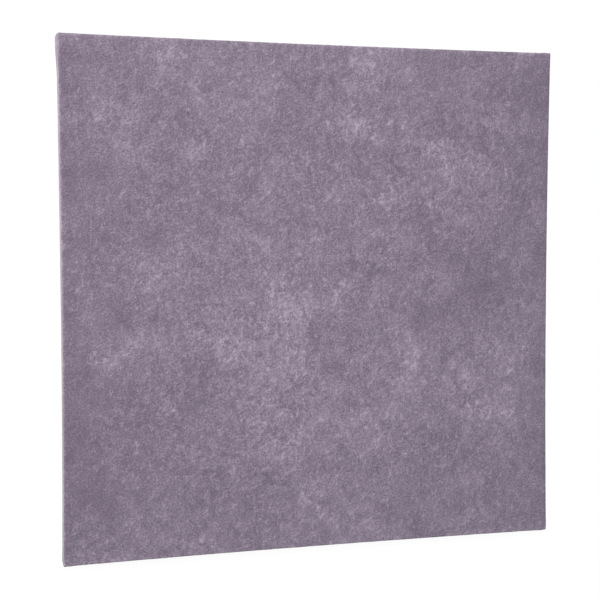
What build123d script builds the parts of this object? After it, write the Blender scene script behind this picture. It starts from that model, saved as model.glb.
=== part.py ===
"""Square fabric-wrapped bass trap: a softwood frame filled with mineral wool, wrapped in velour.

It lies on its back with the fabric face up. X runs across the panel and Y up it, as it would
hang, and Z rises from the floor. The origin is the middle of the back. Lengths are in mm.
"""

from build123d import *

import os

# Overall size of the finished panel
panel_width = 600.0
panel_height = 600.0
panel_depth = 30.0

# Velour cover: its cloth, and how far it is turned in over the back of the frame
velour_thickness = 1.0
velour_return = 20.0

# Backing cloth that closes the back and covers the velour's cut edges
backing_thickness = 0.5
backing_inset = 9.0

# Softwood frame: width of a rail seen from the front, and how far its outer edges are eased
rail_width = 22.0
arris_radius = 1.0

# The frame fills the cover, and stands above the backing by the velour turned in under it
frame_width = panel_width - 2 * velour_thickness
frame_height = panel_height - 2 * velour_thickness
frame_back = backing_thickness + velour_thickness
frame_front = panel_depth - velour_thickness
frame_depth = frame_front - frame_back

# The opening inside the frame, which the wool fills
opening_width = frame_width - 2 * rail_width
opening_height = frame_height - 2 * rail_width

os.makedirs("parts", exist_ok=True)

# The outside of the assembled frame, every edge eased so that it can't wear the cloth
with BuildPart() as frame_outline:
    with BuildSketch(Plane.XY.offset(frame_back)):
        Rectangle(frame_width, frame_height)
    extrude(amount=frame_depth)
    fillet(frame_outline.edges(), radius=arris_radius)

# Cross rails: they run the full width, so their ends show at the corners of the frame
with BuildPart() as top_rail:
    with BuildSketch(Plane.XY.offset(frame_back)):
        with Locations((0, (opening_height + rail_width) / 2)):
            Rectangle(frame_width, rail_width)
    extrude(amount=frame_depth)
    add(frame_outline.part, mode=Mode.INTERSECT)

with BuildPart() as bottom_rail:
    mirror(top_rail.part, about=Plane.XZ)

# Side rails: cut to fit between the cross rails, and glued to them end to face
with BuildPart() as right_rail:
    with BuildSketch(Plane.XY.offset(frame_back)):
        with Locations(((opening_width + rail_width) / 2, 0)):
            Rectangle(rail_width, opening_height)
    extrude(amount=frame_depth)
    add(frame_outline.part, mode=Mode.INTERSECT)

with BuildPart() as left_rail:
    mirror(right_rail.part, about=Plane.YZ)

# Absorber: one wool slab, held by the rails and pressed between the front cloth and the backing
with BuildPart() as absorber_core:
    with BuildSketch(Plane.XY.offset(backing_thickness)):
        Rectangle(opening_width, opening_height)
    extrude(amount=frame_front - backing_thickness)

# Velour cover: one cloth over the front and the four sides, turned in round the back
with BuildPart() as fabric_cover:
    with BuildSketch(Plane.XY.offset(backing_thickness)):
        Rectangle(panel_width, panel_height)
    extrude(amount=panel_depth - backing_thickness)
    fillet(fabric_cover.edges(), radius=arris_radius + velour_thickness)
    add(frame_outline.part, mode=Mode.SUBTRACT)
    with BuildSketch(Plane.XY.offset(backing_thickness)):
        Rectangle(panel_width - 2 * velour_return, panel_height - 2 * velour_return)
    extrude(amount=velour_thickness, mode=Mode.SUBTRACT)

# Backing cloth: a flat sheet stapled over the velour's cut edges, on which the panel lies
with BuildPart() as backing_cloth:
    with BuildSketch(Plane.XY):
        Rectangle(panel_width - 2 * backing_inset, panel_height - 2 * backing_inset)
    extrude(amount=backing_thickness)

pieces = {
    "top_rail": top_rail,
    "bottom_rail": bottom_rail,
    "left_rail": left_rail,
    "right_rail": right_rail,
    "absorber_core": absorber_core,
    "fabric_cover": fabric_cover,
    "backing_cloth": backing_cloth,
}
for name, piece in pieces.items():
    piece.part.label = name
    export_step(piece.part, f"parts/{name}.step")
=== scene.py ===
"""Square fabric-wrapped bass trap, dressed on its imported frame.

The panel lies on its back on a pale floor and the camera looks down on its velour face, from its
left and a little from above its middle. Lengths are in metres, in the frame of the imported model:
X runs across the panel, Y up it as it would hang, and Z out of its face.
"""

from __future__ import annotations

import logging
import math
from dataclasses import dataclass
from enum import Enum
from typing import Any

import bmesh
import bpy
import numpy as np
from bpy.types import Material, Node, NodeSocket, NodeTree, Object
from mathutils import Matrix, Vector, noise


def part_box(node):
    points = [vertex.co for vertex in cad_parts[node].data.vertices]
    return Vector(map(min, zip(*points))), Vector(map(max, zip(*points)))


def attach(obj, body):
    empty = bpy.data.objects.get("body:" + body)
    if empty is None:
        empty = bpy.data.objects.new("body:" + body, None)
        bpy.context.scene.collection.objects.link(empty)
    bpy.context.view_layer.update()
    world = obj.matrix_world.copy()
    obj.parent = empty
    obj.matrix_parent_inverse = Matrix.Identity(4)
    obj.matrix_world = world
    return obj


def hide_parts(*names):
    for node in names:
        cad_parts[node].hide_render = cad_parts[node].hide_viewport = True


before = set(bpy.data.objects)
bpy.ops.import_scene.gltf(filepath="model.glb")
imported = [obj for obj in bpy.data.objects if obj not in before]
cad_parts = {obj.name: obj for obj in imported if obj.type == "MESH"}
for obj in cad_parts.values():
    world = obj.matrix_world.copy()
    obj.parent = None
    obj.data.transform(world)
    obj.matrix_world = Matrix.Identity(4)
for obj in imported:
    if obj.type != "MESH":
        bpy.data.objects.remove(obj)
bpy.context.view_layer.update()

MM = 0.001
BODY = "root"
log = logging.getLogger("bass_trap")

# Kinds of node and settings that come up again and again
MATH = "ShaderNodeMath"
MAP_RANGE = "ShaderNodeMapRange"
TIMES_PLUS = {"operation": "MULTIPLY_ADD"}
TIMES = {"operation": "MULTIPLY"}
PLUS = {"operation": "ADD"}
MINUS = {"operation": "SUBTRACT"}
LARGER_OF = {"operation": "MAXIMUM"}
ABOVE = {"operation": "GREATER_THAN"}


class Side(Enum):
    """The four sides of the panel, in the order in which a ring of points goes round them."""

    BOTTOM = (0, -1)
    RIGHT = (1, 0)
    TOP = (0, 1)
    LEFT = (-1, 0)

    @property
    def normal(self) -> np.ndarray:
        """Outward direction of the side, in the XY plane."""
        return np.array(self.value, float)

    @property
    def along(self) -> np.ndarray:
        """Direction in which a ring of points runs along the side."""
        return np.array((-self.value[1], self.value[0]), float)


class End(Enum):
    """The two ends of a side, as a ring of points comes to them."""

    START = -1
    FINISH = 1


class Grain(Enum):
    """The axis that a rail's wood grain follows."""

    X = "x"
    Y = "y"


def linear(hex_colour: str) -> tuple[float, float, float, float]:
    """Turns an sRGB hex colour into the linear values that shaders take.

    Args:
        hex_colour: Six hex digits after a hash sign.

    Returns:
        Linear red, green and blue, and an alpha of 1.
    """
    parts = [int(hex_colour[i : i + 2], 16) / 255 for i in (1, 3, 5)]
    red, green, blue = [c / 12.92 if c <= 0.04045 else ((c + 0.055) / 1.055) ** 2.4 for c in parts]
    return red, green, blue, 1.0


def per_metre(size_mm: float) -> float:
    """Scale of a pattern whose features are so many millimetres across."""
    return 1 / (size_mm * MM)


def add_node(
    tree: NodeTree,
    kind: str,
    settings: dict[str, Any] | None = None,
    inputs: dict[str, Any] | list[Any] | None = None,
) -> Node:
    """Adds one node with its settings and links.

    Args:
        tree: The tree that gets the node.
        kind: The node's type.
        settings: Values of the node's own properties, by name.
        inputs: What the open sockets get, by their names or identifiers, or as a list from the
            first one on. Each gets a plain value, another socket, or a node, which stands for its
            first open output.

    Returns:
        The new node.
    """
    made = tree.nodes.new(kind)
    for name, value in (settings or {}).items():
        setattr(made, name, value)
    targets = [socket for socket in made.inputs if socket.enabled]
    if isinstance(inputs, dict):
        targets = [next(s for s in targets if name in (s.identifier, s.name)) for name in inputs]
        inputs = list(inputs.values())
    for target, source in zip(targets, inputs or []):
        if isinstance(source, Node):
            source = next(socket for socket in source.outputs if socket.enabled)
        if isinstance(source, NodeSocket):
            tree.links.new(source, target)
        else:
            target.default_value = source
    return made


def new_material(name: str) -> tuple[Material, NodeTree]:
    """Makes a node material with nothing in it.

    Args:
        name: Name of the real material.

    Returns:
        The material and its empty tree.
    """
    material = bpy.data.materials.new(name)
    material.use_nodes = True
    material.node_tree.nodes.clear()
    return material, material.node_tree


@dataclass(frozen=True)
class SpotLayer:
    """Spots of one size in a surface, such as tufts, streaks or strands, and how they lie."""

    size_mm: float
    detail: float
    stray: float
    # How far the spots are drawn out along each axis, before they are turned to lean
    stretch: tuple[float, float, float] = (1.0, 1.0, 1.0)
    lean_degrees: float = 0.0
    raggedness: float = 0.85

    def spots(self, tree: NodeTree, place: NodeSocket) -> Node:
        """Adds the layer.

        Args:
            tree: The material's tree.
            place: Where the material is read.

        Returns:
            A noise whose middle value is about 0.5.
        """
        lean = (0.0, 0.0, math.radians(self.lean_degrees))
        drawn = add_node(
            tree,
            "ShaderNodeMapping",
            {"vector_type": "TEXTURE"},
            {"Vector": place, "Rotation": lean, "Scale": self.stretch},
        )
        return add_node(
            tree,
            "ShaderNodeTexNoise",
            inputs={
                "Vector": drawn,
                "Scale": per_metre(self.size_mm),
                "Detail": self.detail,
                "Roughness": self.raggedness,
                "Distortion": self.stray,
            },
        )


@dataclass(frozen=True)
class FibrousFinish:
    """What the cloths, the wood and the wool share: a ground with a figure in it, and a relief."""

    name: str
    ground: str
    figure: str
    roughness: float
    # The specular level, and then the strength and the depth of the relief
    gloss: float
    bump: float
    bump_depth: float
    sheen: float = 0.0
    sheen_roughness: float = 0.5
    sheen_tint: str = "#FFFFFF"

    def pattern(self, tree: NodeTree, place: NodeSocket) -> tuple[Node, Node]:
        """Adds the nodes of the finish's own pattern.

        Args:
            tree: The material's tree.
            place: Where the material is read.

        Returns:
            How much of the figure's colour shows, from 0 to 1, and the height of the relief.
        """
        raise NotImplementedError

    def material(self) -> Material:
        """Builds the finish.

        Returns:
            A material on Object coordinates.
        """
        material, tree = new_material(self.name)
        place = add_node(tree, "ShaderNodeTexCoord").outputs["Object"]
        share, height = self.pattern(tree, place)
        colour = add_node(
            tree,
            "ShaderNodeMix",
            {"data_type": "RGBA"},
            {"Factor": share, "A": linear(self.ground), "B": linear(self.figure)},
        )
        relief = add_node(
            tree,
            "ShaderNodeBump",
            inputs={"Strength": self.bump, "Distance": self.bump_depth, "Height": height},
        )
        surface = add_node(
            tree,
            "ShaderNodeBsdfPrincipled",
            inputs={
                "Base Color": colour,
                "Roughness": self.roughness,
                "Specular IOR Level": self.gloss,
                "Sheen Weight": self.sheen,
                "Sheen Roughness": self.sheen_roughness,
                "Sheen Tint": linear(self.sheen_tint),
                "Normal": relief,
            },
        )
        add_node(tree, "ShaderNodeOutputMaterial", inputs={"Surface": surface})
        return material


@dataclass(frozen=True)
class BrushedVelour(FibrousFinish):
    """Warp-knitted polyester velour with a short pile, raised by brushing.

    The pile scatters light nearly evenly and shines softly where it is seen edge on. Where it leans
    the other way it looks paler, in soft clouds that fray into tufts, wisps and single fibres.
    """

    name: str = "brushed_polyester_velour"
    ground: str = "#706475"
    figure: str = "#B8ABBD"
    roughness: float = 0.95
    gloss: float = 0.15
    bump: float = 0.3
    bump_depth: float = 0.7 * MM
    sheen: float = 0.38
    sheen_roughness: float = 0.3
    sheen_tint: str = "#F3EBDF"
    clouds: SpotLayer = SpotLayer(90.0, 2.0, 0.4)
    cloud_share: float = 0.53
    tufts: SpotLayer = SpotLayer(15.0, 2.0, 1.0, (1.0, 1.3, 1.0))
    tuft_share: float = 0.6
    # The fibres are about 0.1 mm across and are drawn as coarse as the tips of a tuft, to show
    fibres: SpotLayer = SpotLayer(2.0, 1.0, 0.3)
    fibre_share: float = 1.12
    # Sparse tips of pile that catch the light, of which there are more where brushing raises the
    # pile and where the rims are painted lighter
    wisps: tuple[SpotLayer, ...] = (
        SpotLayer(5.0, 2.0, 0.6, (1.0, 2.2, 1.0), -60.0),
        SpotLayer(5.0, 2.0, 0.6, (1.0, 2.2, 1.0)),
    )
    wisp_low: float = 0.52
    wisp_high: float = 0.8
    wisp_share: float = 0.36
    wisp_gain: float = 1.05
    # A brush mark shows on the tufts more than between them
    mark_on_tufts: float = 1.9
    mark_between: float = -0.1
    tone_shift: float = -0.75
    contrast: float = 1.4

    def pattern(self, tree: NodeTree, place: NodeSocket) -> tuple[Node, Node]:
        """Adds up the mesh's brush marks and painted rim light and shade, and the layers of pile.

        Args:
            tree: The velour's tree.
            place: Where the velour is read.

        Returns:
            How pale the pile looks, from 0 to 1, for both its colour and its relief.
        """
        # The mesh's attribute holds the brush marks and the painted light and shade along the rims
        marks = add_node(tree, "ShaderNodeAttribute", {"attribute_name": "pile_brushing_and_rim_light"}).outputs["Fac"]
        frayed = add_node(tree, MATH, TIMES_PLUS, [marks, self.wisp_gain, self.wisp_share])
        tufts = self.tufts.spots(tree, place)
        clumped = add_node(tree, MATH, TIMES_PLUS, [tufts, self.mark_on_tufts, self.mark_between])
        layers = [
            (marks, clumped),
            (self.clouds.spots(tree, place), self.cloud_share),
            (tufts, self.tuft_share),
            (self.fibres.spots(tree, place), self.fibre_share),
        ]
        for wisps in self.wisps:
            tips = [wisps.spots(tree, place), self.wisp_low, self.wisp_high]
            layers.append((add_node(tree, MAP_RANGE, inputs=tips), frayed))
        total = self.tone_shift
        for layer, share in layers:
            total = add_node(tree, MATH, TIMES_PLUS, [layer, share, total])
        total.use_clamp = True
        tone = add_node(tree, MATH, {"operation": "POWER"}, [total, self.contrast])
        return tone, tone


@dataclass(frozen=True)
class SpunbondFleece(FibrousFinish):
    """Black spun-bonded polypropylene cloth: dull, faintly streaky, pressed in a fine dot grid."""

    name: str = "black_spunbond_fleece"
    ground: str = "#17171A"
    figure: str = "#2E2E33"
    roughness: float = 0.85
    gloss: float = 0.3
    bump: float = 0.5
    bump_depth: float = 0.15 * MM
    sheen: float = 0.1
    streaks: SpotLayer = SpotLayer(9.0, 4.0, 0.0, raggedness=0.7)
    # The bond points are about 1 mm apart and are drawn at 2 mm, to show
    bond_pitch_mm: float = 2.0

    def pattern(self, tree: NodeTree, place: NodeSocket) -> tuple[Node, Node]:
        """Adds the streaks and the bond points.

        Args:
            tree: The fleece's tree.
            place: Where the fleece is read.

        Returns:
            The streaks and the relief of the bond points.
        """
        bonds = add_node(
            tree,
            "ShaderNodeTexVoronoi",
            {"feature": "F1"},
            {"Vector": place, "Scale": per_metre(self.bond_pitch_mm), "Randomness": 0.0},
        )
        return self.streaks.spots(tree, place), bonds


@dataclass(frozen=True)
class PlanedSoftwood(FibrousFinish):
    """Planed, untreated pine: pale yellow early wood with thin brown lines of late wood.

    The lines are the year rings of a trunk whose middle lies below the panel's back, so they run
    along the faces of a rail and cross its ends as flat arcs.
    """

    name: str = "planed_pine"
    ground: str = "#E6C793"
    figure: str = "#A8713C"
    roughness: float = 0.6
    gloss: float = 0.4
    bump: float = 0.3
    bump_depth: float = 0.2 * MM
    grain: Grain = Grain.X
    ring_mm: float = 3.2
    trunk_depth_mm: float = 150.0
    stretch: float = 12.0
    late_wood_power: float = 3.0
    # The fibres are hundredths of a millimetre across and are drawn at 1 mm, to show
    fibre_mm: float = 1.0
    fibre_share: float = 0.3

    def pattern(self, tree: NodeTree, place: NodeSocket) -> tuple[Node, Node]:
        """Adds the year rings and the fibres.

        Args:
            tree: The wood's tree.
            place: Where the wood is read.

        Returns:
            How dark the wood is, and the relief of its fibres.
        """
        squeeze = tuple(1 / self.stretch if axis == self.grain.value else 1.0 for axis in "xyz")
        trunk = (0.0, 0.0, self.trunk_depth_mm * MM)
        drawn = add_node(
            tree,
            "ShaderNodeMapping",
            inputs={"Vector": place, "Location": trunk, "Scale": squeeze},
        )
        # Blender draws 20 / tau rings to the metre at a scale of 1
        rings = add_node(
            tree,
            "ShaderNodeTexWave",
            {"wave_type": "RINGS", "rings_direction": self.grain.name, "wave_profile": "SAW"},
            {
                "Vector": drawn,
                "Scale": per_metre(self.ring_mm) * math.tau / 20,
                "Distortion": 14.0,
                "Detail": 3.0,
                "Detail Scale": 0.25,
            },
        ).outputs["Fac"]
        late_wood = add_node(tree, MATH, {"operation": "POWER"}, [rings, self.late_wood_power])
        fibres = add_node(
            tree,
            "ShaderNodeTexNoise",
            inputs={"Vector": drawn, "Scale": per_metre(self.fibre_mm), "Detail": 3.0},
        )
        shade = add_node(tree, MATH, TIMES_PLUS, [fibres, self.fibre_share, late_wood])
        shade.use_clamp = True
        return shade, fibres


@dataclass(frozen=True)
class MineralWool(FibrousFinish):
    """Stone-wool slab: greenish brown fibres matted flat in thin uneven layers, and quite matt."""

    name: str = "stone_wool"
    ground: str = "#5E5433"
    figure: str = "#C4B888"
    roughness: float = 1.0
    gloss: float = 0.1
    bump: float = 0.8
    bump_depth: float = 0.8 * MM
    layers: SpotLayer = SpotLayer(4.0, 6.0, 0.0, (6.0, 6.0, 1.0), raggedness=0.7)
    # The fibres are hundredths of a millimetre across and are drawn as the strands they mat into
    strands: tuple[SpotLayer, ...] = (
        SpotLayer(1.2, 2.0, 0.8, (1.0, 9.0, 1.0), 20.0, 0.5),
        SpotLayer(1.2, 2.0, 0.8, (1.0, 9.0, 1.0), 75.0, 0.5),
        SpotLayer(1.2, 2.0, 0.8, (1.0, 9.0, 1.0), -40.0, 0.5),
    )
    strand_share: float = 0.8
    tone_shift: float = -1.2

    def pattern(self, tree: NodeTree, place: NodeSocket) -> tuple[Node, Node]:
        """Adds up the layers of the slab and the strands that lie across each other.

        Args:
            tree: The wool's tree.
            place: Where the wool is read.

        Returns:
            How pale the wool is, for both its colour and its relief.
        """
        layers = self.layers.spots(tree, place)
        total = add_node(tree, MATH, PLUS, [layers, self.tone_shift])
        for strands in self.strands:
            spots = strands.spots(tree, place)
            total = add_node(tree, MATH, TIMES_PLUS, [spots, self.strand_share, total])
        total.use_clamp = True
        return total, total


@dataclass(frozen=True)
class GalvanisedWire:
    """Zinc-coated steel wire, rolled flat: bright grey with a soft, slightly uneven shine."""

    zinc: str = "#B9BCC0"
    bloom: SpotLayer = SpotLayer(1.5, 2.0, 0.0, raggedness=0.5)
    roughness_low: float = 0.25
    roughness_high: float = 0.45

    def material(self) -> Material:
        """Builds the wire.

        Returns:
            A material on Object coordinates.
        """
        material, tree = new_material("galvanised_steel_wire")
        place = add_node(tree, "ShaderNodeTexCoord").outputs["Object"]
        bloom = self.bloom.spots(tree, place)
        rough = add_node(
            tree,
            MAP_RANGE,
            inputs={"Value": bloom, "To Min": self.roughness_low, "To Max": self.roughness_high},
        )
        surface = add_node(
            tree,
            "ShaderNodeBsdfPrincipled",
            inputs={"Base Color": linear(self.zinc), "Metallic": 1.0, "Roughness": rough},
        )
        add_node(tree, "ShaderNodeOutputMaterial", inputs={"Surface": surface})
        return material


@dataclass(frozen=True)
class StudioPaper:
    """White background paper, which shows nearly white and keeps a pale shadow of the panel."""

    paper: str = "#F4F4F4"
    glow: float = 1.05
    glow_share: float = 0.9

    def material(self) -> Material:
        """Builds the paper.

        Returns:
            A material that adds plain white for what the camera and reflections see of it.
        """
        material, tree = new_material("white_background_paper")
        rays = add_node(tree, "ShaderNodeLightPath").outputs
        mirrored = [rays["Is Glossy Ray"], rays["Is Transmission Ray"]]
        seen = add_node(tree, MATH, LARGER_OF, mirrored)
        seen = add_node(tree, MATH, LARGER_OF, [rays["Is Camera Ray"], seen])
        share = add_node(tree, MATH, TIMES, [seen, self.glow_share])
        matt = add_node(tree, "ShaderNodeBsdfDiffuse", inputs=[linear(self.paper), 1.0])
        white = add_node(tree, "ShaderNodeEmission", inputs={"Strength": self.glow})
        both = add_node(tree, "ShaderNodeMixShader", inputs=[share, matt, white])
        add_node(tree, "ShaderNodeOutputMaterial", inputs={"Surface": both})
        return material


def place_object(name: str, data: bpy.types.ID) -> Object:
    """Puts a mesh, a lamp or a camera into the scene, at the origin.

    Args:
        name: Name of the object.
        data: The mesh, lamp or camera.

    Returns:
        The new object.
    """
    made = bpy.data.objects.new(name, data)
    bpy.context.scene.collection.objects.link(made)
    return made


def mesh_object(name: str, points: np.ndarray, faces: list[tuple[int, ...]]) -> Object:
    """Makes a smooth mesh object at the origin and merges the points that coincide.

    Args:
        name: Name of the piece.
        points: One row of X, Y and Z for each point.
        faces: Point numbers of each face, in the order seen from outside.

    Returns:
        The new object, in the scene.
    """
    mesh = bpy.data.meshes.new(name)
    mesh.from_pydata(points.tolist(), [], faces)
    work = bmesh.new()
    work.from_mesh(mesh)
    bmesh.ops.remove_doubles(work, verts=work.verts, dist=1e-6)
    work.to_mesh(mesh)
    work.free()
    mesh.polygons.foreach_set("use_smooth", [True] * len(mesh.polygons))
    return place_object(name, mesh)


def grid_faces(first: int, columns: int, rows: int, upward: bool) -> list[tuple[int, ...]]:
    """Faces of a grid of points that are numbered along X first, then Y.

    Args:
        first: Number of the grid's first point.
        columns: Points along X.
        rows: Points along Y.
        upward: Whether the faces look up or down.

    Returns:
        One four-sided face for each cell.
    """
    faces = []
    for j in range(rows - 1):
        for i in range(columns - 1):
            a = first + j * columns + i
            cell = (a, a + 1, a + columns + 1, a + columns)
            faces.append(cell if upward else cell[::-1])
    return faces


def ring_faces(first: int, count: int, rings: int) -> list[tuple[int, ...]]:
    """Faces between closed rings of points that follow each other down a profile.

    Args:
        first: Number of the first ring's first point.
        count: Points in each ring.
        rings: Number of rings.

    Returns:
        One four-sided face for each step of each ring.
    """
    faces = []
    for r in range(rings - 1):
        for k in range(count):
            a = first + r * count + k
            b = first + r * count + (k + 1) % count
            faces.append((a, a + count, b + count, b))
    return faces


def smoothstep(low: float, high: float, value: np.ndarray) -> np.ndarray:
    """Goes smoothly from 0 to 1 as the value goes from low to high."""
    t = np.clip((value - low) / (high - low), 0, 1)
    return t * t * (3 - 2 * t)


@dataclass(frozen=True)
class Ripple:
    """Smooth random unevenness, whose seed makes it differ from others of its size."""

    size: float
    seed: float
    height: float = 1.0

    def at(self, points: np.ndarray) -> np.ndarray:
        """Reads the ripple.

        Args:
            points: One row of X, Y and Z for each point.

        Returns:
            One value for each point, between about minus and plus the height.
        """
        shift = Vector((self.seed, 0, 0))
        return self.height * np.array([noise.noise(Vector(p) / self.size + shift) for p in points])


@dataclass(frozen=True)
class BrushMark:
    """A cloudy patch of pile that leans its own way; the broad one over the middle is painted light
    instead. Lengths are in millimetres from the middle.
    """

    x: float
    y: float
    reach_x: float
    reach_y: float
    tone: float
    turn: float = 0.0


@dataclass(frozen=True)
class RimLightAndShade:
    """Painted light and shade along one side: above zero a painted highlight, below zero painted
    shade, fading within its reach.
    """

    side: Side
    reach: float
    tone: float


@dataclass(frozen=True)
class CornerFold:
    """Where the spare cloth of one corner is folded flat, and how far it stands off the side."""

    side: Side
    end: End
    height: float
    ear: float
    crease: float


@dataclass(frozen=True)
class CornerPull:
    """How far one corner stands proud of the sides, and how far its gathered cloth swells there."""

    across: Side
    upward: Side
    proud_x: float
    proud_y: float
    knob: float = 0.0


@dataclass(frozen=True)
class SkinRings:
    """Rings of points on one skin of the cover: on the face, round each edge and down the side."""

    face: tuple[float, ...]
    edge_steps: int
    wall_steps: int


@dataclass(frozen=True)
class ProfileRow:
    """One ring of the cover's section: its inset, its height, and how far it faces outward."""

    inset: float
    z: float
    outward: float


@dataclass
class VelourCover:
    """The velour: one cloth over the face and the four sides, turned in round the back."""

    low: Vector
    high: Vector
    cloth: float
    finish: BrushedVelour
    edge_radius: float = 2.0 * MM
    corner_radius: float = 1.2 * MM
    corner_steps: int = 4
    turn_in: float = 20.0 * MM
    staple_line: float = 14.0 * MM
    staple_press: float = 0.7 * MM
    # The face's crown starts at the rails' inner edges and is full three rail widths further in
    crown: float = 0.5 * MM
    rail_band: float = 23.0 * MM
    crown_band: float = 92.0 * MM
    pile_ripple: float = 0.12 * MM
    wall_ripple: float = 0.168 * MM
    ripples: tuple[Ripple, ...] = (Ripple(7 * MM, 3.0), Ripple(16 * MM, 9.0, 0.8))
    # Spacing of the points along a side, and their distances from its ends, where the folds are
    cell: float = 4.2 * MM
    end_points_mm: tuple[float, ...] = (
        1.2, 2.4, 3.6, 4.7, 5.05, 5.5, 6.5, 8.5, 11.0, 14.5, 18.5, 23.0, 28.0,
    )
    # Width of the edge band round the grid of the face, and the rings of points across it
    band: float = 12.0 * MM
    outer_rings: SkinRings = SkinRings((12 * MM, 9 * MM, 6.5 * MM, 4.5 * MM), 6, 7)
    inner_rings: SkinRings = SkinRings((12 * MM, 6 * MM), 3, 2)
    back_rings: tuple[float, ...] = (6 * MM, 9 * MM, 12 * MM, 16 * MM, 18 * MM)
    # Where the cloth turns over an edge its pile opens and looks paler, or is rubbed flat
    # Towards the sides the pile is painted lighter or darker: a painted highlight along the top
    # edge, a paler band along the bottom edge, and painted shade along the right side and in from
    # the left side
    rims: tuple[RimLightAndShade, ...] = (
        RimLightAndShade(Side.TOP, 2.5 * MM, 0.15),
        RimLightAndShade(Side.BOTTOM, 2.5 * MM, 0.14),
        RimLightAndShade(Side.RIGHT, 2.0 * MM, -0.04),
        RimLightAndShade(Side.RIGHT, 18 * MM, -0.065),
        RimLightAndShade(Side.LEFT, 14 * MM, -0.055),
    )
    # The cloth gathers at the corners, so they stand proud and the sides draw in between them
    pulls: tuple[CornerPull, ...] = (
        CornerPull(Side.LEFT, Side.TOP, 0.8 * MM, 1.4 * MM),
        CornerPull(Side.RIGHT, Side.TOP, 2.9 * MM, 1.0 * MM),
        CornerPull(Side.RIGHT, Side.BOTTOM, 2.9 * MM, 1.6 * MM, -0.4 * MM),
        CornerPull(Side.LEFT, Side.BOTTOM, 2.5 * MM, 2.0 * MM, 0.5 * MM),
    )
    knob_radius: float = 4.5 * MM
    folds: tuple[CornerFold, ...] = (
        CornerFold(Side.LEFT, End.START, 1.5 * MM, 0.5, 0.3 * MM),
        CornerFold(Side.BOTTOM, End.START, 0.5 * MM, 0.5, 4.7 * MM),
        CornerFold(Side.BOTTOM, End.FINISH, 0.6 * MM, 0.2, 4.7 * MM),
        CornerFold(Side.TOP, End.START, 0.8 * MM, 0.4, 4.7 * MM),
    )
    crease_slant: float = 4.0 * MM
    # How much the points follow a crease: distances from the corner in mm, and shares
    crease_follow: tuple[tuple[float, ...], ...] = ((1.2, 3.6, 8.5, 30.0), (0, 1, 1, 0))
    # How a fold rises past its crease: distances in mm, and shares of its height
    crease_rise: tuple[tuple[float, ...], ...] = ((-0.01, 0.35, 0.8), (0, 0.7, 1.0))
    # How far a fold reaches from its crease at the face, and how much further at the back
    fold_reach: float = 8.0 * MM
    fold_spread: float = 44.0 * MM
    # The share of that reach at which a fold begins to fall, and of the depth at which it is open
    fold_flat: float = 0.1
    fold_open: float = 0.2
    # They follow the photograph's paler and darker patches, whose places were measured on it
    marks: tuple[BrushMark, ...] = (
        # The first mark is painted light, not brushing: a broad paler patch over the middle of the
        # face
        BrushMark(10, -10, 150, 260, 0.25),
        BrushMark(-43, -6, 26, 40, 1.0),
        BrushMark(-102, -58, 27, 28, 1.1),
        BrushMark(-18, -88, 18, 28, 0.65, 15),
        BrushMark(62, 274, 22, 28, 0.95),
        BrushMark(48, 205, 30, 21, 0.85),
        BrushMark(155, 170, 18, 34, 0.8, 35),
        BrushMark(222, 157, 18, 18, 0.85),
        BrushMark(230, 212, 20, 28, 0.6),
        BrushMark(115, -82, 17, 27, 0.6),
        BrushMark(189, -101, 23, 15, 0.9),
        BrushMark(247, -90, 13, 28, 0.7, 15),
        BrushMark(218, -146, 32, 15, 0.9),
        BrushMark(-175, 280, 24, 18, 0.6),
        BrushMark(-248, 215, 20, 16, 0.5),
        BrushMark(-192, 28, 26, 20, 0.5),
        BrushMark(-240, -62, 36, 16, 0.5, 25),
        BrushMark(65, -155, 28, 24, 0.6),
        BrushMark(-76, -131, 42, 30, 0.45),
        BrushMark(-44, -176, 26, 34, 0.8, -20),
        BrushMark(-142, 242, 22, 16, 0.6),
        BrushMark(-290, -288, 16, 11, 0.4),
        BrushMark(193, -284, 18, 14, 0.5),
        BrushMark(272, -58, 16, 18, 0.5),
        BrushMark(36, 9, 30, 16, 0.5, 35),
        BrushMark(-81, 61, 18, 16, 0.55),
        BrushMark(158, 50, 16, 16, -0.4),
        BrushMark(100, 122, 20, 18, 0.8),
        BrushMark(-136, -14, 16, 14, 0.6),
        BrushMark(-152, 168, 22, 16, 0.6),
        BrushMark(-27, 278, 18, 20, 0.55),
        BrushMark(-153, -284, 24, 14, 0.6),
        BrushMark(75, -284, 24, 14, 0.5),
        BrushMark(132, -22, 24, 20, -0.85),
        BrushMark(206, 12, 32, 32, -0.65),
        BrushMark(287, 54, 16, 22, -0.5),
        BrushMark(-266, 270, 16, 16, -0.45),
        BrushMark(21, -86, 14, 16, -0.65),
        BrushMark(41, -46, 14, 12, -0.4),
        BrushMark(31, 75, 20, 18, -0.55),
        BrushMark(-50, 60, 16, 18, -0.3),
        BrushMark(-135, 80, 18, 16, -0.5),
        BrushMark(-288, 124, 18, 30, -0.45),
        BrushMark(-286, -118, 24, 84, -0.32),
        BrushMark(-253, -225, 31, 22, -0.7),
        BrushMark(-190, 78, 18, 18, -0.65),
        BrushMark(-238, -14, 18, 26, -0.6),
        BrushMark(-246, 146, 20, 18, -0.55),
        BrushMark(140, 206, 18, 14, -0.5),
        BrushMark(150, 284, 24, 14, -0.45),
        BrushMark(243, 117, 18, 16, 0.4),
        BrushMark(156, 110, 20, 20, 0.4),
        BrushMark(-212, 120, 18, 14, 0.4),
        BrushMark(-10, -250, 20, 16, 0.5),
        BrushMark(-156, -46, 18, 14, 0.45),
        BrushMark(-150, -120, 22, 18, -0.4),
        BrushMark(120, -220, 20, 18, -0.4),
    )
    mark_strength: float = 0.3
    # How far the outlines of the marks stray across and up the panel, in millimetres
    strays: tuple[Ripple, Ripple] = (Ripple(26 * MM, 20.0, 12.0), Ripple(26 * MM, 40.0, 12.0))

    @property
    def half(self) -> np.ndarray:
        """Half the cover's width and height."""
        return np.array((self.high - self.low).xy) / 2

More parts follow.
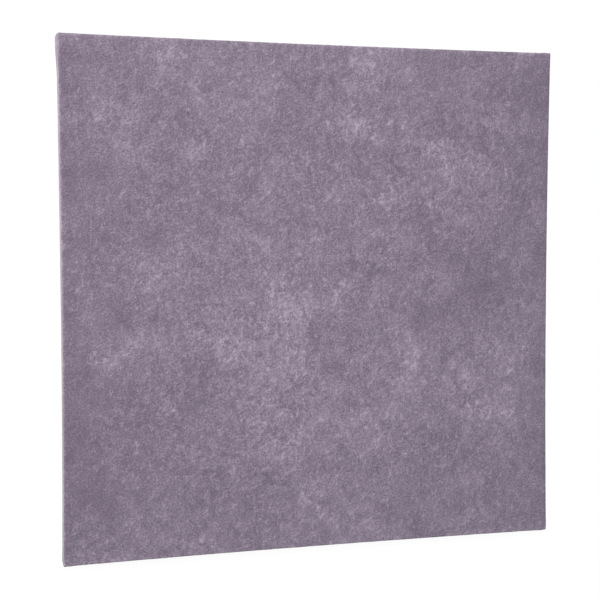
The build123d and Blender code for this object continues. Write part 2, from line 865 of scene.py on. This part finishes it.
    def stations(self) -> np.ndarray:
        """Places of the points along a side, as shares of its half length.

        Returns:
            Values from -1 to 1, close together where the corner folds are.
        """
        reach = self.half[0] - np.array(self.end_points_mm) * MM
        cells = round(2 * reach[-1] / self.cell)
        middle = np.linspace(-reach[-1], reach[-1], cells + 1)
        return np.concatenate([-reach[:-1], middle, reach[:-1][::-1]]) / reach[0]

    def profile(self, outer: bool) -> list[ProfileRow]:
        """Rows of the cover's section, from the face round the side to the turned-in edge.

        Args:
            outer: Whether the rows are on the outside of the cloth or on its inside.

        Returns:
            The rows in order.
        """
        skin = 0.0 if outer else self.cloth
        rings = self.outer_rings if outer else self.inner_rings
        radius = self.edge_radius - skin
        top, bottom = self.high.z - self.edge_radius, self.low.z + self.edge_radius
        rows = [ProfileRow(inset, self.high.z - skin, 0) for inset in rings.face]
        quarter = [math.pi / 2 * i / rings.edge_steps for i in range(rings.edge_steps + 1)]
        for a in quarter:
            inset = self.edge_radius - radius * math.sin(a)
            rows.append(ProfileRow(inset, top + radius * math.cos(a), math.sin(a)))
        for i in range(1, rings.wall_steps):
            rows.append(ProfileRow(skin, top + (bottom - top) * i / rings.wall_steps, 1))
        for a in quarter:
            inset = self.edge_radius - radius * math.cos(a)
            rows.append(ProfileRow(inset, bottom - radius * math.sin(a), math.cos(a)))
        for inset in sorted((*self.back_rings, self.staple_line, self.turn_in)):
            press = self.staple_press if outer and inset == self.staple_line else 0
            rows.append(ProfileRow(inset, self.low.z + skin + press, 0))
        return rows

    def folded(
        self, side: Side, run: np.ndarray, row: ProfileRow
    ) -> tuple[np.ndarray, np.ndarray]:
        """Moves the points of one side to the creases of its folds and lifts the folded cloth.

        Args:
            side: The side.
            run: Distance of each point along the side, from its middle.
            row: The row that the points lie in.

        Returns:
            The new distances, and how far each point stands off the side.
        """
        lift = np.zeros_like(run)
        depth = np.clip((self.high.z - row.z) / (self.high.z - self.low.z), 0, 1)
        half_run = float(abs(side.along) @ self.half)
        for fold in self.folds:
            if fold.side is not side:
                continue
            away = half_run - fold.end.value * run
            follow = np.interp(away / MM, *self.crease_follow)
            run = run - fold.end.value * self.crease_slant * depth * follow
            past = away - fold.crease
            rise = np.interp(past / MM, *self.crease_rise)
            reach = self.fold_reach + self.fold_spread * depth
            fall = 1 - smoothstep(self.fold_flat, 1.0, past / reach)
            open_up = fold.ear + (1 - fold.ear) * smoothstep(0, self.fold_open, depth)
            lift = lift + fold.height * open_up * rise * fall
        return run, lift * row.outward

    def ring(self, row: ProfileRow, outer: bool) -> np.ndarray:
        """Points of one closed ring round the panel, counterclockwise seen from the front.

        Args:
            row: Where the ring lies in the section.
            outer: Whether the ring is on the outside of the cloth, which has the folds.

        Returns:
            One row of X, Y and Z for each point.
        """
        radius = max(self.corner_radius - row.inset, 0)
        straight = self.half - max(row.inset, self.corner_radius)
        turn = np.linspace(0, math.pi / 2, self.corner_steps + 1)[1:-1, None]
        parts = []
        for side in Side:
            run = self.stations() * float(abs(side.along) @ straight)
            stand = float(abs(side.normal) @ (self.half - row.inset))
            lift = np.zeros_like(run)
            if outer:
                run, lift = self.folded(side, run, row)
            parts.append(side.along * run[:, None] + side.normal * (stand + lift)[:, None])
            centre = (side.along + side.normal) * straight
            parts.append(centre + radius * (np.cos(turn) * side.normal + np.sin(turn) * side.along))
        flat = np.concatenate(parts)
        return np.column_stack([flat, np.full(len(flat), row.z)])

    def face_grid(self, z: float) -> np.ndarray:
        """Points of the flat face inside the edge band, numbered along X first.

        Args:
            z: Height of the face.

        Returns:
            One row of X, Y and Z for each point.
        """
        places = self.stations()
        x, y = np.meshgrid(*(places * (half - self.band) for half in self.half))
        return np.column_stack([x.ravel(), y.ravel(), np.full(x.size, z)])

    def drawn_in(self, points: np.ndarray) -> np.ndarray:
        """Stands the corners proud, so that the sides draw in between them.

        Args:
            points: One row of X, Y and Z for each point.

        Returns:
            The moved points.
        """
        moved = points.copy()
        u, v = (points[:, :2] / self.half).T
        for pull in self.pulls:
            outward = pull.across.normal + pull.upward.normal
            here = (u * outward[0] > 0) & (v * outward[1] > 0)
            moved[:, 0] += here * outward[0] * pull.proud_x * abs(u) ** 3 * v**2
            moved[:, 1] += here * outward[1] * pull.proud_y * abs(v) ** 3 * u**2
            away = np.linalg.norm(points[:, :2] - outward * self.half, axis=1) / self.knob_radius
            moved[:, :2] += np.outer(pull.knob * np.exp(-(away**2)), outward / math.sqrt(2))
        return moved

    def relief(self, points: np.ndarray, outer: bool) -> np.ndarray:
        """Crowns the face over the wool and roughens the pile.

        Args:
            points: One row of X, Y and Z for each point.
            outer: Whether the points are on the outside of the cloth, which has the pile.

        Returns:
            The moved points.
        """
        moved = points.copy()
        inset = (self.half - abs(points[:, :2])).min(axis=1)
        on_face = points[:, 2] > self.high.z - 1.5 * self.cloth
        moved[:, 2] += on_face * self.crown * smoothstep(self.rail_band, self.crown_band, inset)
        if outer:
            rough = sum(ripple.at(points) for ripple in self.ripples)
            face_share = on_face * smoothstep(self.edge_radius, self.band, inset)
            moved[:, 2] += self.pile_ripple * rough * face_share
            wall = (points[:, 2] > self.low.z + self.edge_radius) & (inset < self.edge_radius)
            sideways = points[:, :2] * (abs(points[:, :2]) > self.half - 2 * self.edge_radius)
            away = sideways / np.maximum(np.linalg.norm(sideways, axis=1, keepdims=True), 1e-9)
            moved[:, :2] += away * (self.wall_ripple * rough * wall)[:, None]
        return moved

    def pile_brushing_and_rim_light(self, points: np.ndarray) -> np.ndarray:
        """How far brushing raises the pile at each point, with the painted light and shade of the
        rims added.

        Args:
            points: One row of X, Y and Z for each point.

        Returns:
            One value for each point, above zero where the velour looks paler.
        """
        place = points[:, :2] / MM + np.column_stack([stray.at(points) for stray in self.strays])
        total = np.zeros(len(points))
        for mark in self.marks:
            angle = math.radians(mark.turn)
            dx, dy = (place - (mark.x, mark.y)).T
            u = (dx * math.cos(angle) + dy * math.sin(angle)) / mark.reach_x
            v = (dy * math.cos(angle) - dx * math.sin(angle)) / mark.reach_y
            total += mark.tone * np.exp(-(u * u + v * v))
        total *= self.mark_strength
        # The rims add painted light and shade along the sides
        for rim in self.rims:
            inset = float(abs(rim.side.normal) @ self.half) - points[:, :2] @ rim.side.normal
            total += rim.tone * np.exp(-((np.maximum(inset, 0) / rim.reach) ** 2))
        return total

    def build(self) -> Object:
        """Returns:
            The cover, which stands for the plain CAD one.
        """
        outside = [self.ring(row, True) for row in self.profile(True)]
        inside = [self.ring(row, False) for row in self.profile(False)][::-1]
        count, side = len(outside[0]), len(self.stations())
        outer = self.relief(np.concatenate([*outside, self.face_grid(self.high.z)]), True)
        inner_face = self.face_grid(self.high.z - self.cloth)
        inner = self.relief(np.concatenate([*inside, inner_face]), False)
        first, last = count * len(outside), count * len(inside)
        points = np.concatenate([outer[:first], inner[:last], outer[first:], inner[last:]])
        faces = ring_faces(0, count, len(outside) + len(inside))
        faces += grid_faces(first + last, side, side, True)
        faces += grid_faces(first + last + side * side, side, side, False)
        cover = mesh_object("velour_cover", self.drawn_in(points), faces)
        self.dress(cover)
        return cover

    def dress(self, cover: Object) -> None:
        """Gives the cover its brush marks with the painted rim light and shade, and its velour,
        hides the plain CAD cover and sets the cover on the body.

        Args:
            cover: The built cover.
        """
        points = np.array([v.co for v in cover.data.vertices])
        # The attribute holds the brush marks and the painted light and shade along the rims
        layer = cover.data.attributes.new("pile_brushing_and_rim_light", "FLOAT", "POINT")
        layer.data.foreach_set("value", self.pile_brushing_and_rim_light(points))
        cover.data.materials.append(self.finish.material())
        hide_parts("fabric_cover")
        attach(cover, BODY)


@dataclass
class StapleRow:
    """Staples round the back, through both cloths into the rails."""

    half: np.ndarray
    finish: GalvanisedWire
    back: float = 0.0
    per_side: int = 11
    crown: float = 10.0 * MM
    leg: float = 1.2 * MM
    wire_width: float = 1.2 * MM
    wire_thick: float = 0.6 * MM
    bend: float = 0.5 * MM
    skew: float = math.radians(7)
    seed: int = 4

    def centres(self) -> np.ndarray:
        """Places of the staples, from the bottom left corner round the panel.

        Returns:
            One row of X and Y for each staple.
        """
        places = []
        for side in Side:
            reach = float(abs(side.along) @ self.half)
            for i in range(self.per_side):
                run = reach * (2 * (i + 0.5) / self.per_side - 1)
                places.append(side.normal * float(abs(side.normal) @ self.half) + side.along * run)
        return np.array(places)

    def tree(self, sizes: dict[str, Any]) -> NodeTree:
        """Builds the tree that sets a staple on each point of a mesh, in line with its side.

        Args:
            sizes: What the tree's inputs will get, by their names.

        Returns:
            A Geometry Nodes tree with named inputs.
        """
        kinds = {float: "Float", int: "Int", Material: "Material"}
        tree = bpy.data.node_groups.new("staple_row", "GeometryNodeTree")
        face = tree.interface
        face.new_socket("Geometry", in_out="INPUT", socket_type="NodeSocketGeometry")
        for name, size in sizes.items():
            face.new_socket(name, in_out="INPUT", socket_type=f"NodeSocket{kinds[type(size)]}")
        face.new_socket("Geometry", in_out="OUTPUT", socket_type="NodeSocketGeometry")
        given = add_node(tree, "NodeGroupInput").outputs
        # Four points: foot, shoulder, shoulder, foot
        index = add_node(tree, "GeometryNodeInputIndex")
        across = add_node(tree, MATH, MINUS, [add_node(tree, MATH, ABOVE, [index, 1.5]), 0.5])
        x = add_node(tree, MATH, TIMES, [across, given["Crown"]])
        off_middle = add_node(tree, MATH, MINUS, [index, 1.5])
        spread = add_node(tree, MATH, {"operation": "ABSOLUTE"}, [off_middle])
        foot = add_node(tree, MATH, ABOVE, [spread, 1.0])
        z = add_node(tree, MATH, TIMES, [foot, given["Leg"]])
        place = add_node(tree, "ShaderNodeCombineXYZ", inputs={"X": x, "Z": z})
        line = add_node(tree, "GeometryNodeMeshLine", inputs={"Count": 4})
        wire = add_node(tree, "GeometryNodeMeshToCurve", inputs=[line])
        move = {"Geometry": wire, "Position": place}
        bent = add_node(tree, "GeometryNodeSetPosition", inputs=move)
        rounded = add_node(
            tree,
            "GeometryNodeFilletCurve",
            {"mode": "POLY"},
            {"Curve": bent, "Radius": given["Bend Radius"], "Count": 3},
        )
        section = add_node(
            tree,
            "GeometryNodeCurvePrimitiveQuadrilateral",
            {"mode": "RECTANGLE"},
            {"Width": given["Wire Thickness"], "Height": given["Wire Width"]},
        )
        staple = add_node(
            tree,
            "GeometryNodeCurveToMesh",
            inputs={"Curve": rounded, "Profile Curve": section, "Fill Caps": True},
        )
        skew = add_node(
            tree,
            "FunctionNodeRandomValue",
            {"data_type": "FLOAT"},
            {"Max": given["Skew"], "Seed": given["Seed"]},
        )
        side_turn = add_node(
            tree, "GeometryNodeInputNamedAttribute", {"data_type": "FLOAT"}, {"Name": "side_turn"}
        )
        turn = add_node(tree, MATH, PLUS, [side_turn, skew])
        angles = add_node(tree, "ShaderNodeCombineXYZ", inputs={"Z": turn})
        rotation = add_node(tree, "FunctionNodeEulerToRotation", inputs=[angles])
        row = add_node(
            tree,
            "GeometryNodeInstanceOnPoints",
            inputs={"Points": given["Geometry"], "Instance": staple, "Rotation": rotation},
        )
        real = add_node(tree, "GeometryNodeRealizeInstances", inputs=[row])
        shading = {"Geometry": real, "Shade Smooth": False}
        flat = add_node(tree, "GeometryNodeSetShadeSmooth", inputs=shading)
        dressing = {"Geometry": flat, "Material": given["Material"]}
        dressed = add_node(tree, "GeometryNodeSetMaterial", inputs=dressing)
        add_node(tree, "NodeGroupOutput", inputs=[dressed])
        return tree

    def build(self) -> Object:
        """Returns:
            All staples as one mesh.
        """
        sizes = {
            "Crown": self.crown,
            "Leg": self.leg,
            "Wire Width": self.wire_width,
            "Wire Thickness": self.wire_thick,
            "Bend Radius": self.bend,
            "Skew": self.skew,
            "Seed": self.seed,
            "Material": self.finish.material(),
        }
        mesh = bpy.data.meshes.new("staple_points")
        height = self.back + self.wire_thick / 2
        mesh.from_pydata([(x, y, height) for x, y in self.centres()], [], [])
        turns = [math.atan2(*side.along[::-1]) for side in Side for _ in range(self.per_side)]
        mesh.attributes.new("side_turn", "FLOAT", "POINT").data.foreach_set("value", turns)
        points = place_object("staple_points", mesh)
        modifier = points.modifiers.new("staples", "NODES")
        modifier.node_group = self.tree(sizes)
        for socket in modifier.node_group.interface.items_tree:
            if socket.in_out == "INPUT" and socket.name in sizes:
                modifier[socket.identifier] = sizes[socket.name]
        evaluated = points.evaluated_get(bpy.context.evaluated_depsgraph_get())
        whole = bpy.data.meshes.new_from_object(evaluated)
        points.modifiers.clear()
        bpy.data.objects.remove(points)
        whole.name = "back_staples"
        staples = place_object("back_staples", whole)
        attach(staples, BODY)
        return staples


@dataclass
class BackingCloth:
    """The black fleece over the back, pressed in at each staple."""

    low: Vector
    high: Vector
    finish: SpunbondFleece
    staples: StapleRow
    cloth: float = 0.45 * MM
    press: float = 0.55 * MM
    dent_length: float = 6.5 * MM
    dent_width: float = 2.6 * MM
    edge_wander: Ripple = Ripple(35 * MM, 5.0, 0.6 * MM)
    slack: Ripple = Ripple(90 * MM, 12.0, 0.25 * MM)
    # Distances of the points from the middle of a staple and from the cloth's edge
    staple_points_mm: tuple[float, ...] = (-7.5, -5.0, 0.0, 5.0, 7.5)
    edge_points_mm: tuple[float, ...] = (0.0, 1.5, 3.2, 5.0, 6.8, 9.0, 12.5)
    least_gap: float = 0.8 * MM

    def stations(self, half: float) -> np.ndarray:
        """Places of the points along one axis, close together at the edges and at the staples.

        Args:
            half: Half the cloth's size along the axis.

        Returns:
            Distances from the middle, in order.
        """
        count = self.staples.per_side
        pitch = 2 * float(self.staples.half[0]) / count
        centres = (np.arange(count) - (count - 1) / 2) * pitch
        around = (centres[:, None] + np.array(self.staple_points_mm) * MM).ravel()
        edge = half - np.array(self.edge_points_mm) * MM
        places = np.concatenate([around, centres + pitch / 2, -edge, edge])
        places = np.sort(places[abs(places) <= half])
        keep = np.concatenate([[True], np.diff(places) > self.least_gap])
        return places[keep]

    def pressed(self, points: np.ndarray) -> np.ndarray:
        """How deep the cloth is pressed in at each point.

        Args:
            points: One row of X and Y for each point.

        Returns:
            One depth for each point.
        """
        depth = np.zeros(len(points))
        sides = [side for side in Side for _ in range(self.staples.per_side)]
        for centre, side in zip(self.staples.centres(), sides):
            gap = points - centre
            run = abs(gap @ side.along) / self.dent_length
            across = abs(gap @ side.normal) / self.dent_width
            depth = np.maximum(depth, np.exp(-(run**4) - across**2))
        return self.press * depth

    def build(self) -> Object:
        """Returns:
            The cloth, which stands for the plain CAD one.
        """
        half = np.array((self.high - self.low).xy) / 2
        along_x, along_y = self.stations(half[0]), self.stations(half[1])
        x, y = np.meshgrid(along_x, along_y)
        flat = np.column_stack([x.ravel(), y.ravel(), np.zeros(x.size)])
        rim = (half - abs(flat[:, :2]) < self.least_gap).any(axis=1)
        flat[:, :2] *= 1 - (rim * abs(self.edge_wander.at(flat)) / half[0])[:, None]
        lift = self.pressed(flat[:, :2]) + abs(self.slack.at(flat)) * ~rim
        under, over = flat.copy(), flat.copy()
        under[:, 2] = self.low.z + lift
        over[:, 2] = self.low.z + lift + self.cloth
        columns, rows = len(along_x), len(along_y)
        faces = grid_faces(0, columns, rows, False) + grid_faces(len(flat), columns, rows, True)
        border = [
            *range(columns),
            *range(2 * columns - 1, columns * rows, columns),
            *range(columns * rows - 2, columns * (rows - 1) - 1, -1),
            *range(columns * (rows - 2), 0, -columns),
        ]
        for a, b in zip(border, border[1:] + border[:1]):
            faces.append((a, b, b + len(flat), a + len(flat)))
        cloth = mesh_object("backing_fleece", np.concatenate([under, over]), faces)
        cloth.data.materials.append(self.finish.material())
        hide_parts("backing_cloth")
        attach(cloth, BODY)
        return cloth


@dataclass
class WoolSlab:
    """The absorber: one mineral-wool slab that fills the frame."""

    low: Vector
    high: Vector
    finish: MineralWool
    clearance: float = 0.3 * MM
    cells: tuple[int, int, int] = (60, 60, 8)
    tufting: float = 0.8 * MM
    tufts: Ripple = Ripple(14 * MM, 2.0, 0.5)

    def build(self) -> Object:
        """Returns:
            The slab, which stands for the plain CAD one.
        """
        low, high = np.array(self.low) + self.clearance, np.array(self.high) - self.clearance
        work = bmesh.new()
        bmesh.ops.create_cube(work, size=1.0)
        for axis, cuts in enumerate(self.cells):
            edges = [e for e in work.edges if abs((e.verts[0].co - e.verts[1].co)[axis]) > 0.5]
            bmesh.ops.subdivide_edges(work, edges=edges, cuts=cuts - 1, use_grid_fill=True)
        mesh = bpy.data.meshes.new("wool_slab")
        work.to_mesh(mesh)
        work.free()
        unit = np.array([v.co for v in mesh.vertices])
        points = (low + high) / 2 + unit * (high - low)
        inward = -np.sign(unit) * (abs(unit) > 0.499)
        points += inward * (self.tufting * (0.5 + self.tufts.at(points)))[:, None]
        mesh.vertices.foreach_set("co", points.ravel())
        slab = place_object("wool_slab", mesh)
        slab.data.materials.append(self.finish.material())
        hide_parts("absorber_core")
        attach(slab, BODY)
        return slab


@dataclass
class SoftwoodFrame:
    """The four rails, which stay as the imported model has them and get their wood."""

    cross_rails: tuple[str, str] = ("top_rail", "bottom_rail")
    side_rails: tuple[str, str] = ("left_rail", "right_rail")

    def build(self) -> list[Object]:
        """Gives each rail wood whose grain runs along it.

        Returns:
            The rails.
        """
        dressed = []
        for grain, names in ((Grain.X, self.cross_rails), (Grain.Y, self.side_rails)):
            wood = PlanedSoftwood(f"planed_pine_{grain.value}", grain=grain).material()
            for name in names:
                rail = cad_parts[name]
                for slot in rail.material_slots:
                    slot.material = wood
                dressed.append(rail)
        return dressed


@dataclass(frozen=True)
class SoftLamp:
    """A square soft lamp that points at the middle of the panel."""

    name: str
    place: tuple[float, float, float]
    size: float
    power: float


@dataclass
class Studio:
    """The floor, the light and the camera."""

    face_height: float
    paper: StudioPaper
    floor_size: float = 14.0
    ambient: float = 0.36
    lamps: tuple[SoftLamp, ...] = (
        SoftLamp("overhead_lamp", (-0.95, 1.4, 3.1), 1.2, 69.5),
        SoftLamp("side_lamp", (-2.4, 0.9, 0.26), 0.4, 37.0),
    )
    eye: tuple[float, float, float] = (-0.3880, 0.0779, 1.3688)
    looks_at: tuple[float, float] = (-0.0224, -0.0017)
    lens: float = 70.16
    roll: float = math.radians(-0.16)

    def floor(self) -> Object:
        """Lays the paper under the panel.

        Returns:
            The floor, which isn't part of the object.
        """
        half = self.floor_size / 2
        corners = np.array([(-half, -half, 0), (half, -half, 0), (half, half, 0), (-half, half, 0)])
        floor = mesh_object("floor", corners, [(0, 1, 2, 3)])
        floor.data.materials.append(self.paper.material())
        return floor

    def surround(self) -> None:
        """Lights the panel evenly from all round, and shows white past the edge of the floor."""
        world = bpy.data.worlds.new("studio")
        world.use_nodes = True
        tree = world.node_tree
        tree.nodes.clear()
        rays = add_node(tree, "ShaderNodeLightPath").outputs
        seen = add_node(tree, MATH, LARGER_OF, [rays["Is Camera Ray"], rays["Is Glossy Ray"]])
        levels = {"Value": seen, "To Min": self.ambient, "To Max": 1.0}
        strength = add_node(tree, MAP_RANGE, inputs=levels)
        light = add_node(tree, "ShaderNodeBackground", inputs=[linear("#FFFFFF"), strength])
        add_node(tree, "ShaderNodeOutputWorld", inputs={"Surface": light})
        bpy.context.scene.world = world

    def light(self) -> None:
        """Hangs the lamps: one high up towards the panel's top edge, one low down to its left."""
        for lamp in self.lamps:
            data = bpy.data.lights.new(lamp.name, "AREA")
            data.size = lamp.size
            data.energy = lamp.power
            hung = place_object(lamp.name, data)
            hung.location = lamp.place
            hung.rotation_euler = (-Vector(lamp.place)).to_track_quat("-Z", "Y").to_euler()

    def camera(self) -> Object:
        """Sets up the camera, whose picture has the panel's top edge at the top.

        Returns:
            The camera.
        """
        data = bpy.data.cameras.new("camera")
        data.lens = self.lens
        camera = place_object("camera", data)
        ahead = (Vector((*self.looks_at, self.face_height)) - Vector(self.eye)).normalized()
        right = ahead.cross(Vector((0, 1, 0))).normalized()
        upward = right.cross(ahead)
        stand = Matrix((right, upward, -ahead)).transposed() @ Matrix.Rotation(self.roll, 3, "Z")
        camera.matrix_world = Matrix.Translation(self.eye) @ stand.to_4x4()
        bpy.context.scene.camera = camera
        return camera

    def build(self) -> None:
        """Sets up the floor, the light and the camera."""
        self.camera()
        self.floor()
        self.surround()
        self.light()
        bpy.context.scene.view_settings.view_transform = "Standard"


def tell(pieces: list[Object]) -> None:
    """Logs the name and the size of each piece.

    Args:
        pieces: The finished pieces.
    """
    for piece in pieces:
        size = ", ".join(f"{d / MM:.1f}" for d in piece.dimensions)
        log.info("%s: %d faces, %s mm", piece.name, len(piece.data.polygons), size)


def main() -> None:
    logging.basicConfig(level=logging.INFO, format="%(name)s: %(message)s")
    rail_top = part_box("top_rail")[1]
    cover_low, cover_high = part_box("fabric_cover")
    Studio(face_height=cover_high.z, paper=StudioPaper()).build()
    cover = VelourCover(cover_low, cover_high, cover_high.z - rail_top.z, BrushedVelour())
    staples = StapleRow(cover.half - cover.staple_line, GalvanisedWire())
    backing = BackingCloth(*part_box("backing_cloth"), SpunbondFleece(), staples)
    tell([cover.build()])
    tell([backing.build()])
    tell([staples.build()])
    tell([WoolSlab(*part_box("absorber_core"), MineralWool()).build()])
    tell(SoftwoodFrame().build())


if __name__ == "__main__":
    main()
